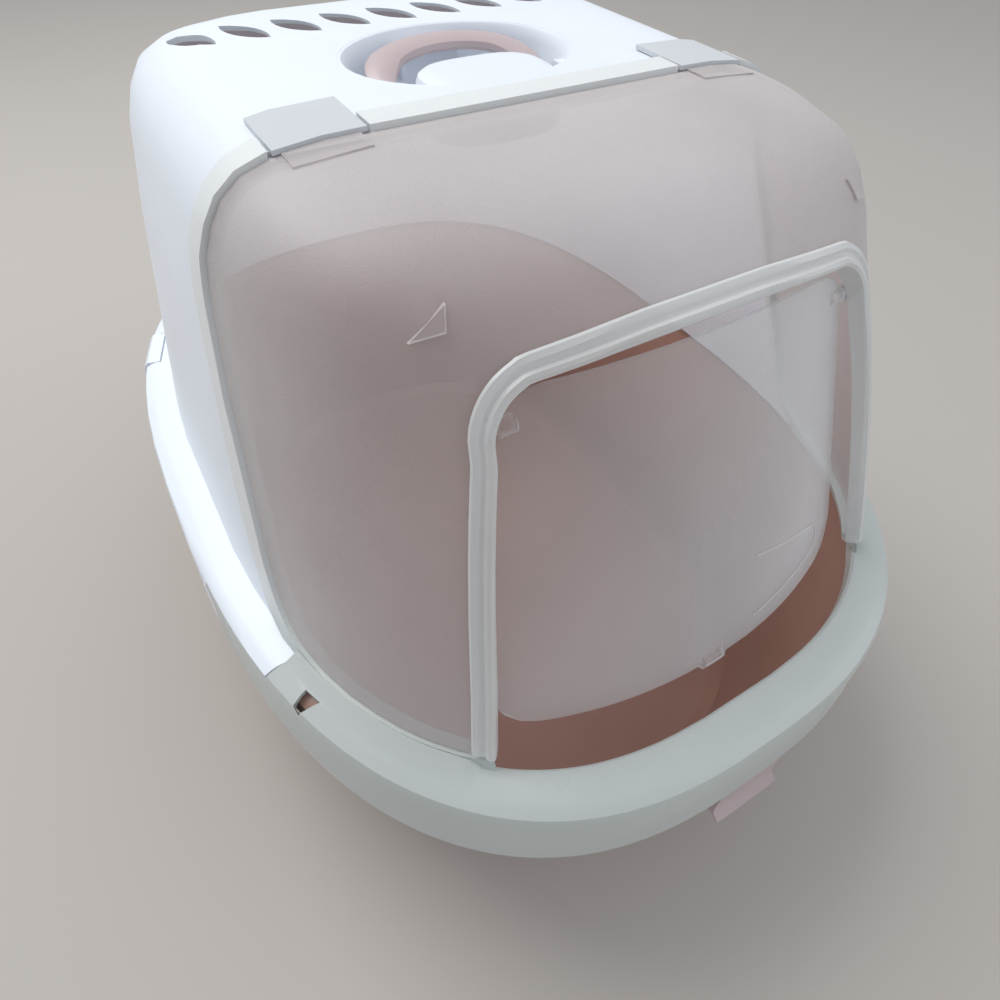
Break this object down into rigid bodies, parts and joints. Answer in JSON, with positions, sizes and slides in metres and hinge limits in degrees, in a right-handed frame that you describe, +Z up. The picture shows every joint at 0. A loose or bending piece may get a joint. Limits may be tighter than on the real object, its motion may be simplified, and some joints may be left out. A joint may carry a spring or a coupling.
{
  "type": "hooded cat litter box",
  "caption": "Rounded litter tray under a white hood, with a see-through front that lifts on a hinge and carries a swinging entry flap, a fold-down grip and a charcoal filter",
  "frame": {"origin": "on the floor, under the middle of the box", "axes": "+Z up, the entry flap faces -Y, the long side lies along Y, +X is to the right seen from the front"},
  "size_m": [0.4118, 0.5713, 0.3906],
  "materials": {
    "tray": "smoky see-through moulded plastic",
    "hood": "satin white moulded plastic",
    "front_frame": "milky grey see-through plastic, satin",
    "front_panel": "frosted see-through plastic with a fine grain",
    "door_frame": "clear milky plastic",
    "flap": "clear smooth plastic",
    "handle": "dusty pink satin plastic",
    "hinge_plates": "satin white plastic",
    "front_clip": "dusty pink satin plastic",
    "side_clips": "satin white plastic",
    "filter_holder": "white plastic",
    "charcoal": "black charcoal felt"
  },
  "bodies": {
    "tray": {"base_tray": "tray"},
    "hood": {"hood_shell": "hood", "front_frame": "front_frame", "hinge_plate_left": "hinge_plates", "hinge_plate_right": "hinge_plates"},
    "panel": {"front_panel": "front_panel", "door_frame": "door_frame"},
    "flap": {"swing_flap": "flap"},
    "handle": {"carry_handle": "handle"},
    "clip_front": {"front_clip": "front_clip"},
    "clip_left": {"side_clip_left": "side_clips"},
    "clip_right": {"side_clip_right": "side_clips"},
    "filter": {"filter_holder": "filter_holder", "charcoal_filter": "charcoal"}
  },
  "joints": [
    {"name": "hood_lift", "type": "slide", "parent": "tray", "child": "hood", "axis": [0, 0, 1], "range_m": [0, 0.25]},
    {"name": "panel_hinge", "type": "hinge", "parent": "hood", "child": "panel", "pos_m": [0, -0.0547, 0.3896], "axis": [-1, 0, 0], "range_deg": [0, 100]},
    {"name": "flap_hinge", "type": "hinge", "parent": "panel", "child": "flap", "pos_m": [0, -0.1658, 0.331], "axis": [1, 0, 0], "range_deg": [-45, 60]},
    {"name": "handle_hinge", "type": "hinge", "parent": "hood", "child": "handle", "pos_m": [0, 0.0017, 0.3765], "axis": [1, 0, 0], "range_deg": [0, 100]},
    {"name": "front_clip_hinge", "type": "hinge", "parent": "hood", "child": "clip_front", "pos_m": [0, -0.2781, 0.1435], "axis": [-1, 0, 0], "range_deg": [0, 35]},
    {"name": "left_clip_hinge", "type": "hinge", "parent": "hood", "child": "clip_left", "pos_m": [-0.17225, 0.15781, 0.1885], "axis": [0.324, 0.9461, 0], "range_deg": [0, 35]},
    {"name": "right_clip_hinge", "type": "hinge", "parent": "hood", "child": "clip_right", "pos_m": [0.17225, 0.15781, 0.1885], "axis": [0.324, -0.9461, 0], "range_deg": [0, 35]},
    {"name": "filter_hinge", "type": "hinge", "parent": "hood", "child": "filter", "pos_m": [0, 0.0692, 0.3755], "axis": [-1, 0, 0], "range_deg": [0, 75]}
  ]
}
